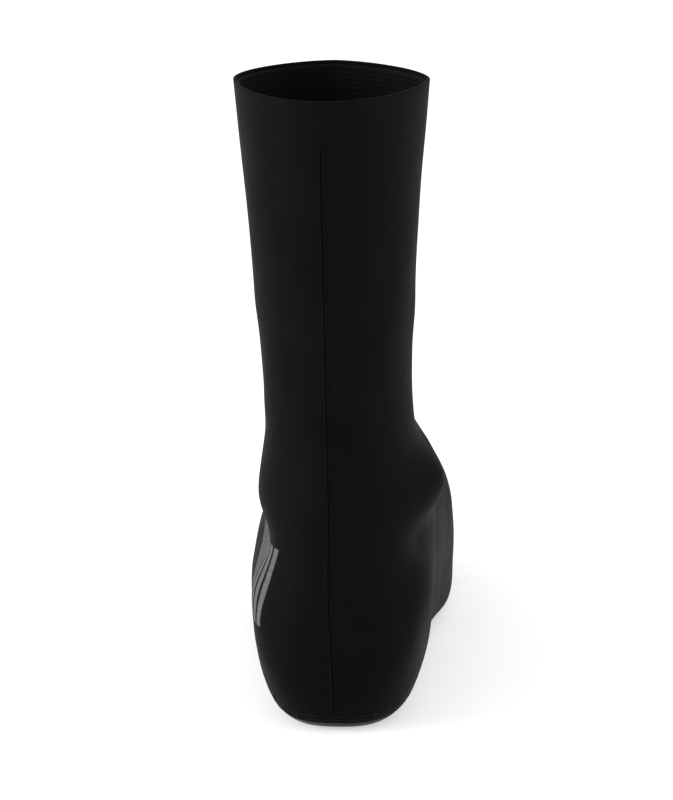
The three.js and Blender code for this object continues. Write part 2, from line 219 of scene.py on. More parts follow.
FRONT, BACK, MIDDLE, HALF, WIDEST, FRONT_SQUARE, BACK_SQUARE = slice(0, 3), slice(3, 6), 6, 7, 8, 9, 10

# Soft creases of the cloth, given as segments on the side view: side (-1 outer, 1 inner, 0 both), the
# two ends ahead in foot lengths and up in instep heights, the half width in foot lengths and the depth.
FOLDS = (
    (1, 0.405, 1.03, 0.30, 0.90, 0.020, -0.85),
    (-1, 0.400, 1.05, 0.29, 0.93, 0.020, -0.80),
    (1, 0.430, 0.96, 0.31, 0.80, 0.017, 0.70),
    (-1, 0.420, 0.97, 0.30, 0.83, 0.018, 0.65),
    (1, 0.455, 0.90, 0.345, 0.72, 0.018, -0.75),
    (-1, 0.450, 0.905, 0.34, 0.745, 0.018, -0.65),
    (0, 0.395, 1.14, 0.31, 1.05, 0.024, 0.55),
    (0, 0.385, 1.25, 0.30, 1.17, 0.028, -0.55),
    (-1, 0.375, 1.42, 0.26, 1.30, 0.034, 0.45),
    (1, 0.372, 1.38, 0.25, 1.24, 0.034, 0.45),
    (-1, 0.130, 1.00, 0.24, 0.86, 0.022, -0.45),
    (1, 0.135, 0.96, 0.25, 0.84, 0.022, -0.45),
    (-1, 0.115, 1.78, 0.205, 1.28, 0.046, 0.75),
    (-1, 0.150, 1.50, 0.225, 1.02, 0.030, -0.40),
    (1, 0.200, 1.52, 0.150, 1.12, 0.040, 0.55),
    (1, 0.270, 1.70, 0.330, 1.35, 0.050, -0.40),
    (-1, 0.560, 0.62, 0.690, 0.36, 0.024, -0.45),
    (1, 0.590, 0.56, 0.705, 0.33, 0.024, -0.45),
    (0, 0.815, 0.47, 0.850, 0.27, 0.022, -0.35),
    (0, 0.780, 0.50, 0.815, 0.30, 0.024, 0.30),
    (-1, 0.060, 0.40, 0.150, 0.24, 0.024, -0.25),
    (1, 0.060, 0.42, 0.160, 0.22, 0.024, -0.30),
)


def catmull_rom(knots, u):
    """Uniform Catmull-Rom curve. Knot 1 is at u = 0, and the first and the last knot only bend its ends."""
    i = np.clip(np.floor(u).astype(int), 0, len(knots) - 4)
    t = (u - i)[..., None]
    a, b, c, d = knots[i], knots[i + 1], knots[i + 2], knots[i + 3]
    return 0.5 * (2 * b + (c - a) * t + (2 * a - 5 * b + 4 * c - d) * t**2 + (3 * b - a - 3 * c + d) * t**3)


def smooth(low, high, value):
    """Goes from 0 at low to 1 at high on a smooth curve: t squared times three less two t."""
    t = np.clip((value - low) / (high - low), 0, 1)
    return t * t * (3 - 2 * t)


def bell(value, spread):
    """Bell curve: the exponential of minus the square of value over spread."""
    return np.exp(-((value / spread) ** 2))


def running_length(points):
    """Length along a line of points, from its first one."""
    steps = np.linalg.norm(np.diff(points, axis=0), axis=-1)
    return np.concatenate([[0], np.cumsum(steps)])


class Last:
    """The form inside the cover: sections that fan from level at the rim, round the heel, to upright at the toe."""

    def __init__(self, form, sewing):
        self.form, self.sewing = form, sewing
        rise = form.shaft_height - form.instep_height
        rows = []
        for side, ahead, up, back_side, back_ahead, back_up, middle, follows, half, *rest in SHAFT_SECTIONS:
            front = [-side * form.shaft_lean, form.shaft_setback + ahead * form.collar_depth]
            back = [-back_side * form.shaft_lean, form.shaft_setback + back_ahead * form.collar_depth]
            front.append(form.instep_height + up * rise)
            back.append(form.instep_height + back_up * rise)
            rows.append([*front, *back, -middle * form.shaft_lean, half * getattr(form, follows), *rest])
        for side, ahead, up, back_side, back_ahead, size, back_up, middle, follows, half, *rest in HEEL_SECTIONS:
            front = [side * form.toe_sway, ahead * form.foot_length, up * form.instep_height]
            back = [back_side * form.toe_sway, back_ahead * form.foot_length, back_up * getattr(form, size)]
            rows.append([*front, *back, middle * form.toe_sway, half * getattr(form, follows), *rest])
        for side, ahead, up, back_side, back_ahead, back_up, middle, follows, half, *rest in TOE_SECTIONS:
            under = back_up * form.toe_spring
            front = [side * form.toe_sway, ahead * form.foot_length, under + up * form.toe_height]
            back = [back_side * form.toe_sway, back_ahead * form.foot_length, under]
            rows.append([*front, *back, middle * form.toe_sway, half * getattr(form, follows), *rest])
        rows = np.array(rows)
        above = 2 * rows[0] - rows[1]
        past = rows[-2].copy()
        past[FRONT], past[BACK], past[HALF] = rows[-2][BACK], rows[-2][FRONT], -rows[-2][HALF]
        self.rows = rows
        self.knots = np.vstack([above, rows, past])
        self.feather_line = self.feather_curve()
        around = np.linspace(0, 2 * np.pi, 721)
        box = self.points(np.linspace(0, LAST_ROW, 1201)[:, None], around[None, :]).reshape(-1, 3)
        middle = (box.min(0) + box.max(0)) / 2
        low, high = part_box("upper")
        solid_middle = (np.array(low) + np.array(high)) / 2
        self.place = np.array([solid_middle[0] - middle[0], solid_middle[1] - middle[1], 0])
        self.start, self.end = self.feather_ends(0.0)

    def sections(self, u):
        """Section at station u: front point, back point, middle, half width, widest line and squareness."""
        return catmull_rom(self.knots, np.asarray(u, float))

    def points(self, u, angle):
        """Rounded squares drawn in polar form about their middles: angle 0 is the front or top, pi the back or
        bottom, with the inner side between. The reach keeps |cos|^q + |sin|^q times reach^q at 1, and bell-shaped
        swellings and hollows push the two sides out and in. What would lie below the floor is trodden flat."""
        form = self.form
        u, angle = np.broadcast_arrays(np.asarray(u, float), np.asarray(angle, float))
        row = self.sections(u)
        cos, sin = np.cos(angle), np.sin(angle)
        square = row[..., BACK_SQUARE] + (row[..., FRONT_SQUARE] - row[..., BACK_SQUARE]) * (0.5 + 0.5 * cos)
        reach = (np.abs(cos) ** square + np.abs(sin) ** square) ** (-1 / square)
        front, back = row[..., FRONT], row[..., BACK]
        centre = back + (front - back) * row[..., WIDEST, None]
        centre[..., 0] = row[..., MIDDLE]
        end = np.where(cos[..., None] > 0, front, back)
        place = centre + (np.abs(cos) * reach)[..., None] * (end - centre)
        out = sin * reach
        swell = np.zeros_like(out)
        for side, ahead, spread_ahead, up, spread_up, follows, much in SWELLINGS:
            dy = (place[..., 1] / form.foot_length - ahead) / spread_ahead
            dz = (place[..., 2] / form.instep_height - up) / spread_up
            facing = np.where(side * sin > 0, out**2, 0)
            swell += side * much * getattr(form, follows) * facing * np.exp(-(dy**2) - dz**2)
        place[..., 0] += out * np.maximum(row[..., HALF], 0) + swell
        place[..., 2] = np.maximum(place[..., 2], 0)
        return place

    def normals(self, u, angle):
        """Direction out of the form: short steps round it, crossed with short steps along it."""
        step = 1e-3
        u, angle = np.broadcast_arrays(np.asarray(u, float), np.asarray(angle, float))
        inside = np.clip(u, 0, LAST_ROW - 4 * step)
        along = self.points(inside + step, angle) - self.points(inside - step, angle)
        around = self.points(inside, angle + step) - self.points(inside, angle - step)
        normal = np.cross(around, along)
        return normal / np.linalg.norm(normal, axis=-1, keepdims=True)

    def feather_curve(self):
        """Side view of the line where panel and upper meet, as places ahead and heights: a Catmull-Rom curve
        that keeps the panel's turn-up above the middle of the sole and runs on past heel and toe."""
        overrun = 0.02
        turn_up = self.sewing.panel_turn_up
        sole = self.rows[FIRST_SOLE_ROW:LAST_ROW, 4:6]
        line = np.stack([sole[:, 0], np.maximum(sole[:, 1], 0) + turn_up], -1)
        slope = (line[-1] - line[-2]) / np.linalg.norm(line[-1] - line[-2])
        line = np.vstack([[-overrun, turn_up], line, line[-1] + slope * overrun])
        knots = np.vstack([line[0], line, line[-1]])
        return catmull_rom(knots, np.linspace(0, len(line) - 1, 1201))

    def over_feather(self, points):
        """Height of points above the feather line."""
        return points[..., 2] - np.interp(points[..., 1], self.feather_line[:, 0], self.feather_line[:, 1])

    def feather_ends(self, lowered):
        """The two stations where the middle of the underside crosses the feather line, at heel and toe."""
        ends = []
        for low, high in ((FIRST_SOLE_ROW - 2.0, FIRST_SOLE_ROW + 1.0), (LAST_ROW - 0.02, LAST_ROW - 2.0)):
            for _ in range(50):
                middle = (low + high) / 2
                above = self.over_feather(self.points(middle, math.pi)) > -lowered
                low, high = (middle, high) if above else (low, middle)
            ends.append((low + high) / 2)
        return ends

    def under_arc(self, u, side, lowered):
        """Arc round the underside that lies below the feather line on one side, by halving the arc between the
        widest line and the middle of the sole until the line is met."""
        low, high = np.full_like(u, 0.45 * np.pi), np.full_like(u, np.pi)
        for _ in range(40):
            middle = (low + high) / 2
            above = self.over_feather(self.points(u, side * middle)) > -lowered
            low, high = np.where(above, middle, low), np.where(above, high, middle)
        return np.pi - low

    def along_middle(self, u):
        """Mean of the lengths along the front line and along the back line, at stations u."""
        fine = np.linspace(0, LAST_ROW, 2301)
        front = running_length(self.points(fine, 0 * fine))
        back = running_length(self.points(fine, 0 * fine + np.pi))
        return np.interp(u, fine, (front + back) / 2)

    def locate(self, x, y):
        """Station and angle of the places under the foot at x and y, by Newton's steps in both at once."""
        fine = np.linspace(FIRST_SOLE_ROW - 1, LAST_ROW - 0.5, 600)
        u = np.interp(y, self.points(fine, 0 * fine + np.pi)[:, 1], fine)
        row = self.sections(u)
        angle = np.pi + (row[..., MIDDLE] - x) / row[..., HALF]
        step = 1e-4
        for _ in range(14):
            here = self.points(u, angle)
            du = (self.points(u + step, angle) - here) / step
            da = (self.points(u, angle + step) - here) / step
            ex, ey = x - here[..., 0], y - here[..., 1]
            det = du[..., 0] * da[..., 1] - du[..., 1] * da[..., 0]
            u = u + np.clip((ex * da[..., 1] - ey * da[..., 0]) / det, -0.3, 0.3)
            angle = angle + np.clip((du[..., 0] * ey - du[..., 1] * ex) / det, -0.2, 0.2)
        return u, angle


# Meshes


def strip(first, second):
    """Quads between two lines of corners of the same length. They face first-line direction crossed with the
    direction from the first line to the second."""
    quads = np.stack([first[:-1], first[1:], second[1:], second[:-1]], -1)
    return quads.reshape(-1, 4)


def sheet(ids):
    """Quads over a grid of corner numbers, facing the way along a row crossed with the way down the rows."""
    return np.stack([ids[:-1, :-1], ids[:-1, 1:], ids[1:, 1:], ids[1:, :-1]], -1).reshape(-1, 4)


def closed(ids):
    """The same corners with the first one again at the end."""
    return np.concatenate([ids, ids[..., :1]], -1)


def mesh_piece(name, points, faces, place, finishes, indices=None, uvs=None, sharp=60.0):
    """Object at the origin with its place in its mesh. Faces of four corners of which two fall together come
    as triangles, those with no area are dropped, and corners that nothing uses are left out. A finish number
    for each face and places on named maps for each corner come in the order of the faces."""
    _, first, same = np.unique(np.round(points / 1e-8).astype(np.int64), axis=0, return_index=True, return_inverse=True)
    faces = first[same.reshape(-1)][faces]
    nexts = np.roll(faces, -1, axis=1)
    distinct = faces != nexts
    corners = distinct.sum(1)
    keep = corners >= 3
    opposite = (faces[:, 0] == faces[:, 2]) | (faces[:, 1] == faces[:, 3])
    keep &= ~opposite
    faces, distinct, corners = faces[keep], distinct[keep], corners[keep]
    used, renumbered = np.unique(faces[distinct], return_inverse=True)
    starts = np.concatenate([[0], np.cumsum(corners)[:-1]])
    mesh = bpy.data.meshes.new(name)
    mesh.vertices.add(len(used))
    mesh.vertices.foreach_set("co", (points[used] + place).astype(np.float32).ravel())
    mesh.loops.add(int(corners.sum()))
    mesh.loops.foreach_set("vertex_index", renumbered.reshape(-1).astype(np.int32))
    mesh.polygons.add(len(faces))
    mesh.polygons.foreach_set("loop_start", starts.astype(np.int32))
    for finish in finishes:
        mesh.materials.append(finish)
    if indices is not None:
        mesh.polygons.foreach_set("material_index", indices[keep].astype(np.int32))
    mesh.update(calc_edges=True)
    for map_name, places in (uvs or {}).items():
        layer = mesh.uv_layers.new(name=map_name)
        layer.data.foreach_set("uv", places[keep][distinct].astype(np.float32).ravel())
    mesh.polygons.foreach_set("use_smooth", np.ones(len(faces), bool))
    mesh.set_sharp_from_angle(angle=math.radians(sharp))
    if mesh.validate():
        raise RuntimeError(f"{name}: its faces were not sound")
    piece = bpy.data.objects.new(name, mesh)
    bpy.context.scene.collection.objects.link(piece)
    return piece


def dress(piece, node=None):
    """Makes a piece ride on the body and hides the node of the solids that it stands for."""
    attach(piece, "root")
    if node:
        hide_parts(node)
    return piece


# The upper


SEAM_COLUMNS = np.array([0, 0.05, 0.1, 0.16, 0.23, 0.31, 0.4, 0.455, 0.52, 0.58, 0.69, 0.88, 1.2, 1.7])
HALF_COLUMNS = 64
ROWS_ABOVE, ROWS_AROUND, ROWS_BEYOND = 108, 120, 8


def fold_height(last, points, angle):
    """Height of the creases: for each segment on the side view, its depth times a bell curve of the distance to
    it, on its own side of the foot."""
    form = last.form
    place = points[..., 1:] / np.array([form.foot_length, form.foot_length])
    squash = form.instep_height / form.foot_length
    height = np.zeros(points.shape[:-1])
    for side, ahead, up, to_ahead, to_up, width, depth in FOLDS:
        here = np.array([ahead, up * squash])
        way = np.array([to_ahead, to_up * squash]) - here
        offset = place - here
        t = np.clip(offset @ way / (way @ way), 0, 1)
        distance = np.linalg.norm(offset - t[..., None] * way, axis=-1)
        facing = smooth(-0.3, 0.4, side * np.sin(angle)) if side else 1.0
        height += depth * last.sewing.fold_depth * bell(distance, width) * facing
    return height


def upper_grid(last):
    """Grid over the upper. Its rows run down from the rim, round the heel and on to the toe, closer together
    where they meet the panel's ends. Its columns run from the back seam or the panel's edge on the outer side,
    round the front, to the same on the inner side, and keep the seam's own width beside it."""
    form, sewing = last.form, last.sewing
    fine = np.linspace(0, last.start, 1201)
    above = np.interp(
        np.linspace(0, last.along_middle(last.start), ROWS_ABOVE + 1), last.along_middle(fine), fine
    )
    turn = np.linspace(0, 1, ROWS_AROUND + 1)[1:]
    around = last.start + (last.end - last.start) * (1 - np.cos(np.pi * turn)) / 2
    beyond = last.end + (LAST_ROW - last.end) * np.sin(0.5 * np.pi * np.linspace(0, 1, ROWS_BEYOND + 1)[1:])
    u = np.concatenate([above, around, beyond])
    welded = (u <= last.start + 1e-9) | (u >= last.end - 1e-9)
    half = np.maximum(last.sections(u)[:, HALF], form.ankle_width / 2)
    near = SEAM_COLUMNS[None, :] * sewing.seam_width / half[:, None]
    sides = []
    for side in (-1, 1):
        whole = np.pi - np.where(welded, 0, last.under_arc(u, side, 0.0))
        spread = np.linspace(0, 1, HALF_COLUMNS + 1)[None, :-1] * (whole[:, None] - near[:, -1:])
        sides.append(np.concatenate([spread, whole[:, None] - near[:, ::-1]], 1))
    angle = np.concatenate([-sides[0][:, :0:-1], sides[1]], 1)
    across = np.concatenate([(sides[0][:, -1:] - sides[0])[:, :0:-1], -(sides[1][:, -1:] - sides[1])], 1)
    return u[:, None], angle, across * half[:, None], welded


def build_upper(last, finishes):
    """The knitted wall: the form's surface with its creases, gathers and the raised seam on the outside, and the
    same surface set in by the fabric on the inside, joined round the rim and along the panel's edge."""
    form, sewing = last.form, last.sewing
    u, angle, across, welded = upper_grid(last)
    base = last.points(u, angle)
    normal = last.normals(u, angle)
    normal[-1] = (0, 1, 0)
    on_edge = last.over_feather(base)
    height = fold_height(last, base, angle) * smooth(0, 0.008, on_edge)
    back_length = running_length(base[:, 0])[:, None]
    gathers = np.sin(2 * np.pi * (base[..., 1] + 0.6 * np.abs(base[..., 0])) / sewing.pucker_spacing)
    height += sewing.pucker_depth * gathers * bell(on_edge - 0.004, 0.004) * smooth(0, 0.002, on_edge)
    behind = np.cos(angle) < 0
    seam_top = form.shaft_height - sewing.band_inset - sewing.band_height
    on_seam = (u <= last.start) * behind * smooth(seam_top, seam_top - 0.002, base[..., 2])
    on_seam = on_seam * smooth(sewing.seam_end - 0.004, sewing.seam_end, on_edge)
    drawn = np.sin(2 * np.pi * back_length / sewing.pucker_spacing + 1.3 * np.sin(back_length / 0.013))
    height += 0.8 * sewing.pucker_depth * drawn * on_seam * bell(np.abs(across) - 0.003, 0.003)
    aside = np.abs(across) / sewing.seam_width
    ridge = smooth(0.56, 0.42, aside) * (0.85 + 0.15 * np.cos(2 * np.pi * (aside - 0.26) / 0.52))
    proud = on_seam * (sewing.seam_rise * ridge - sewing.seam_groove * bell(aside, 0.09))
    proud_inside = 0.6 * on_seam * sewing.seam_rise * ridge
    outer = base + normal * (height + proud)[..., None]
    inner = base + normal * (height - sewing.wall - proud_inside)[..., None]
    outer[..., 2] = np.maximum(outer[..., 2], 0)
    outer[-1], inner[-1] = outer[-1, :1], inner[-1, :1]
    outer[welded, -1], inner[welded, -1] = outer[welded, 0], inner[welded, 0]
    outer[0, :, 2] = inner[0, :, 2] = form.shaft_height - sewing.rim_round
    rows, columns = angle.shape
    count = rows * columns
    ids = np.arange(count).reshape(rows, columns)
    across_rim = np.array([0.1, 0.3, 0.5, 0.7, 0.9])
    raised = np.sqrt(1 - (2 * across_rim - 1) ** 2) * sewing.rim_round
    rim = inner[0] + across_rim[:, None, None] * (outer[0] - inner[0])
    rim[..., 2] += raised[:, None]
    points = np.concatenate([outer.reshape(-1, 3), inner.reshape(-1, 3), rim.reshape(-1, 3)])
    rim_ids = np.vstack([ids[0] + count, 2 * count + np.arange(rim[..., 0].size).reshape(len(rim), -1), ids[0]])
    open_rows = np.flatnonzero(~welded)
    edge = np.arange(open_rows[0] - 1, open_rows[-1] + 2)
    parts = [
        sheet(ids),
        sheet(ids + count)[:, ::-1],
        np.concatenate([strip(rim_ids[k], rim_ids[k + 1]) for k in range(len(rim_ids) - 1)]),
        strip(ids[edge, -1] + count, ids[edge, -1]),
        strip(ids[edge, 0], ids[edge, 0] + count),
    ]
    faces = np.concatenate(parts)
    finish = np.concatenate([np.full(len(part), k == 1) for k, part in enumerate(parts)])
    along = np.broadcast_to(last.along_middle(u), angle.shape)
    girth = angle * (form.ankle_width + form.ball_width) / 4
    cloth = np.stack([girth, along], -1).reshape(-1, 2)
    seam = np.stack([across * behind + (1 - behind) * 1.0, np.broadcast_to(back_length, angle.shape)], -1).reshape(-1, 2)
    rim_cloth = np.tile(cloth[:columns], (len(rim), 1))
    rim_seam = np.tile(seam[:columns], (len(rim), 1))
    uvs = {
        "cloth": np.concatenate([cloth, cloth, rim_cloth])[faces],
        "seam": np.concatenate([seam, seam, rim_seam])[faces],
    }
    return mesh_piece("knitted_upper", points, faces, last.place, finishes, finish, uvs)


# The sole panel


class SoleMap:
    """Places on the sole panel as w from heel to toe and v from the inner to the outer edge. The station follows
    half a cosine wave of w, so that the rows gather where the panel ends in a round point."""

    def __init__(self, last, lowered):
        self.last = last
        self.start, self.end = last.feather_ends(lowered)
        self.w = np.linspace(0, 1, 801)
        stations = self.station(self.w)
        self.arcs = [last.under_arc(stations, side, lowered) for side in (1, -1)]
        for arc in self.arcs:
            arc[0] = arc[-1] = 0

    def station(self, w):
        return self.start + (self.end - self.start) * (1 - np.cos(np.pi * w)) / 2

    def arc(self, w, outer):
        inner_arc, outer_arc = (np.interp(w, self.w, arc) for arc in self.arcs)
        return np.where(outer, outer_arc, inner_arc)

    def angle(self, w, v):
        return np.pi + v * self.arc(w, v > 0)

    def find(self, x, y):
        u, angle = self.last.locate(x, y)
        w = np.arccos(1 - 2 * (u - self.start) / (self.end - self.start)) / np.pi
        return w, (angle - np.pi) / self.arc(w, angle > np.pi)


def rounded_outline(half_x, half_y, radius, quarter):
    """Rectangle with round corners, from the middle of its inner back corner round the front, with the same
    number of even steps in each of its four quarters."""
    turn = np.linspace(0, np.pi / 4, 60)
    quarters = []
    for k, (reach_x, reach_y) in enumerate(((half_x, half_y), (half_y, half_x)) * 2):
        first = np.stack([reach_x - radius + radius * np.cos(turn - np.pi / 4), radius - reach_y + radius * np.sin(turn - np.pi / 4)], -1)
        second = np.stack([reach_x - radius + radius * np.cos(turn), reach_y - radius + radius * np.sin(turn)], -1)
        line = np.concatenate([first, second])
        run = running_length(line)
        even = np.linspace(0, run[-1], quarter + 1)[:-1]
        x, y = np.interp(even, run, line[:, 0]), np.interp(even, run, line[:, 1])
        cos, sin = round(math.cos(k * math.pi / 2)), round(math.sin(k * math.pi / 2))
        quarters.append(np.stack([x * cos - y * sin, x * sin + y * cos], -1))
    return np.concatenate(quarters)


BINDING_RINGS = np.array([0.0, 0.04, 0.12, 0.3, 0.6, 0.86, 0.97, 1.06, 1.2])
QUARTER_STEPS = 48
OUTWARD_RINGS = 26


def sole_block(last, sole, opening, w_from, w_to):
    """One end of the panel: rings that grow out of its opening, first at even distances, then over straight
    lines in w and v to the four sides of the block. Gives the rings' stations, angles and share of the binding."""
    setback, long, wide, radius = opening
    middle = last.rows[FIRST_SOLE_ROW, MIDDLE]
    rings = []
    for distance in BINDING_RINGS * last.sewing.binding_width:
        outline = rounded_outline(wide / 2 + distance, long / 2 + distance, radius + distance, QUARTER_STEPS)
        rings.append(np.stack(sole.find(outline[:, 0] + middle, outline[:, 1] + setback), -1))
    t = np.arange(QUARTER_STEPS) / QUARTER_STEPS
    same = np.ones(QUARTER_STEPS)
    sides = (
        (w_from + (w_to - w_from) * t, -same),
        (w_to * same, 2 * t - 1),
        (w_to + (w_from - w_to) * t, same),
        (w_from * same, 1 - 2 * t),
    )
    border = np.concatenate([np.stack(side, -1) for side in sides])
    steps = np.linspace(0, 1, OUTWARD_RINGS + 1)[1:, None, None]
    rings = np.concatenate([np.stack(rings), rings[-1] + steps * (border - rings[-1])])
    w, v = rings[..., 0], rings[..., 1]
    bound = np.concatenate([BINDING_RINGS, np.full(OUTWARD_RINGS, 2.0)])
    return sole.station(w), sole.angle(w, v), bound[:, None]


def build_sole(last, finish):
    """The coated panel: two blocks of rings that meet across the waist, each with an outer and an inner face,
    joined round its opening and along its outer edge. The band round an opening is a raised step with a
    sunk line at its edge."""
    sewing = last.sewing
    sole = SoleMap(last, sewing.fit)
    waist = 0.46
    cleat = (sewing.cleat_setback, sewing.cleat_length, sewing.cleat_width, sewing.cleat_radius)
    heel = (sewing.heel_setback, sewing.heel_length, sewing.heel_width, sewing.heel_radius)
    points, faces, count = [], [], 0
    for opening, w_from, w_to, edges in ((heel, 0.0, waist, (0, 2, 3)), (cleat, waist, 1.0, (0, 1, 2))):
        u, angle, bound = sole_block(last, sole, opening, w_from, w_to)
        base, normal = last.points(u, angle), last.normals(u, angle)
        rise = sewing.binding_rise * smooth(1.02, 0.9, bound) * (0.4 + 0.6 * smooth(0, 0.14, bound))
        line = sewing.binding_rise * bell(bound - 1.01, 0.06)
        outer = base + normal * (rise - 0.6 * line)[..., None]
        outer[..., 2] = np.maximum(outer[..., 2], 0)
        inner = base - normal * (sewing.panel_thickness + 0.6 * rise)[..., None]
        ids = closed(np.arange(u.size).reshape(u.shape)) + count
        under = ids + u.size
        points += [outer.reshape(-1, 3), inner.reshape(-1, 3)]
        faces += [sheet(ids)[:, ::-1], sheet(under), strip(ids[0], under[0])]
        for side in edges:
            piece = slice(side * QUARTER_STEPS, (side + 1) * QUARTER_STEPS + 1)
            faces.append(strip(under[-1, piece], ids[-1, piece]))
        count += 2 * u.size
    return mesh_piece("coated_sole_panel", np.concatenate(points), np.concatenate(faces), last.place, [finish])


# The gripper tape


TAPE_COLUMNS = 240
TAPE_RIBS = 7


def build_tape(last, finish):
    """A closed profile carried round the inside of the wall: a flat outer face, round edges, and an inner face
    with low ribs along the tape, each a cosine wave of its height."""
    form, sewing = last.form, last.sewing
    top = form.shaft_height - sewing.band_inset
    radius = sewing.band_thickness / 2
    turn = np.linspace(-np.pi / 2, np.pi / 2, 9)
    run = np.linspace(radius, sewing.band_height - radius, 57)
    ribs = 0.05 * sewing.band_thickness * (1 - np.cos(2 * np.pi * TAPE_RIBS * (run - radius) / (run[-1] - radius)))
    outer_face = np.stack([top - run[::-1], np.zeros_like(run)], -1)
    upper_edge = np.stack([top - radius + radius * np.cos(turn), radius + radius * np.sin(turn)], -1)
    inner_face = np.stack([top - run, 2 * radius + ribs], -1)
    lower_edge = np.stack([top - sewing.band_height + radius - radius * np.cos(turn), radius - radius * np.sin(turn)], -1)
    profile = np.concatenate([outer_face, upper_edge[1:-1], inner_face, lower_edge[1:-1]])
    fine = np.linspace(0, 2, 801)
    heights = last.points(fine, 0 * fine)[:, 2]
    u = np.interp(-profile[:, 0], -heights, fine)[:, None]
    angle = np.linspace(-np.pi, np.pi, TAPE_COLUMNS + 1)[None, :-1]
    base, normal = last.points(u, angle), last.normals(u, angle)
    points = base - normal * (sewing.wall + sewing.fit + profile[:, 1])[:, None, None]
    rows, columns = points.shape[:2]
    ids = closed(np.arange(rows * columns).reshape(rows, columns))
    faces = sheet(np.vstack([ids, ids[:1]]))[:, ::-1]
    cloth = np.stack(np.broadcast_arrays(angle * form.collar_width / 2, profile[:, :1]), -1)
    cloth = np.concatenate([cloth, cloth[:, :1] + [np.pi * form.collar_width, 0]], 1)
    cloth = np.concatenate([cloth, cloth[:1]]).reshape(-1, 2)
    corners = sheet(np.arange((rows + 1) * (columns + 1)).reshape(rows + 1, columns + 1))[:, ::-1]
    uvs = {"cloth": cloth[corners]}
    return mesh_piece("gripper_tape", points.reshape(-1, 3), faces, last.place, [finish], None, uvs)


# The sewing thread


THREAD_SIDES = 8
THREAD_RINGS = np.array([0, 0.45, 0.8, 1, 1, 1, 1, 1, 0.8, 0.45, 0])


def binding_lines(last, sole):
    """Two closed lines on the band round each opening, as places and directions out."""
    sewing = last.sewing
    middle = last.rows[FIRST_SOLE_ROW, MIDDLE]
    openings = (
        (sewing.cleat_setback, sewing.cleat_length, sewing.cleat_width, sewing.cleat_radius),
        (sewing.heel_setback, sewing.heel_length, sewing.heel_width, sewing.heel_radius),
    )
    for setback, long, wide, radius in openings:
        for inward in (0.3, 0.72):
            reach = inward * sewing.binding_width
            outline = rounded_outline(wide / 2 + reach, long / 2 + reach, radius + reach, QUARTER_STEPS)
            outline = np.vstack([outline, outline[:1]])
            w, v = sole.find(outline[:, 0] + middle, outline[:, 1] + setback)
            u, angle = sole.station(w), sole.angle(w, v)
            normal = last.normals(u, angle)
            yield last.points(u, angle) + normal * sewing.binding_rise, normal


def edge_line(last, above):
    """Closed line over the panel's edge, some way above it, as places and directions out."""
    start, end = last.feather_ends(-above)
    u = start + (end - start) * (1 - np.cos(np.pi * np.linspace(0, 1, 901))) / 2
    sides = []
    for side in (1, -1):
        arc = last.under_arc(u, side, -above)
        arc[0] = arc[-1] = 0
        sides.append((u, side * (np.pi - arc)))
    u = np.concatenate([sides[0][0], sides[1][0][-2::-1]])
    angle = np.concatenate([sides[0][1], sides[1][1][-2::-1]])
    return last.points(u, angle), last.normals(u, angle)


def build_thread(last, finish):
    """Stitches: each is a short round thread that dips into the cloth at its two ends. It follows its line, keeps
    half its thickness above it in the middle, and a stitch that would touch the floor is left out."""
    sewing = last.sewing
    radius = sewing.thread / 2
    step = sewing.stitch_length
    lines = [*binding_lines(last, SoleMap(last, sewing.fit)), edge_line(last, 0.0016), edge_line(last, 0.0038)]
    turn = np.linspace(0, 2 * np.pi, THREAD_SIDES + 1)[:-1]
    points, faces, count = [], [], 0
    for line, normal in lines:
        run = running_length(line)
        number = round(run[-1] / step)
        along = (np.arange(number)[:, None] + np.linspace(0.12, 0.88, len(THREAD_RINGS))) * run[-1] / number
        here, out = (np.stack([np.interp(along, run, part[:, k]) for k in range(3)], -1) for part in (line, normal))
        ahead = np.gradient(here, axis=1)
        ahead /= np.linalg.norm(ahead, axis=-1, keepdims=True)
        beside = np.cross(ahead, out)
        beside /= np.linalg.norm(beside, axis=-1, keepdims=True)
        dip = np.sin(np.pi * np.linspace(0, 1, len(THREAD_RINGS)))[:, None] ** 0.5
        here = here + out * radius * (1.6 * dip - 1)
        off_floor = here[..., 2].min(1) > 2 * radius
        here, out, beside = here[off_floor], out[off_floor], beside[off_floor]
        round_it = np.cos(turn)[:, None] * out[:, :, None] + np.sin(turn)[:, None] * beside[:, :, None]
        rings = here[:, :, None] + round_it * radius * THREAD_RINGS[:, None, None]
        ids = count + np.arange(rings[..., 0].size).reshape(rings.shape[:3])
        ids = np.concatenate([ids, ids[..., :1]], -1)
        quads = np.stack([ids[:, :-1, :-1], ids[:, 1:, :-1], ids[:, 1:, 1:], ids[:, :-1, 1:]], -1)
        points.append(rings.reshape(-1, 3))
        faces.append(quads.reshape(-1, 4))
        count += rings[..., 0].size
    return mesh_piece("sewing_thread", np.concatenate(points), np.concatenate(faces), last.place, [finish])


# Finishes


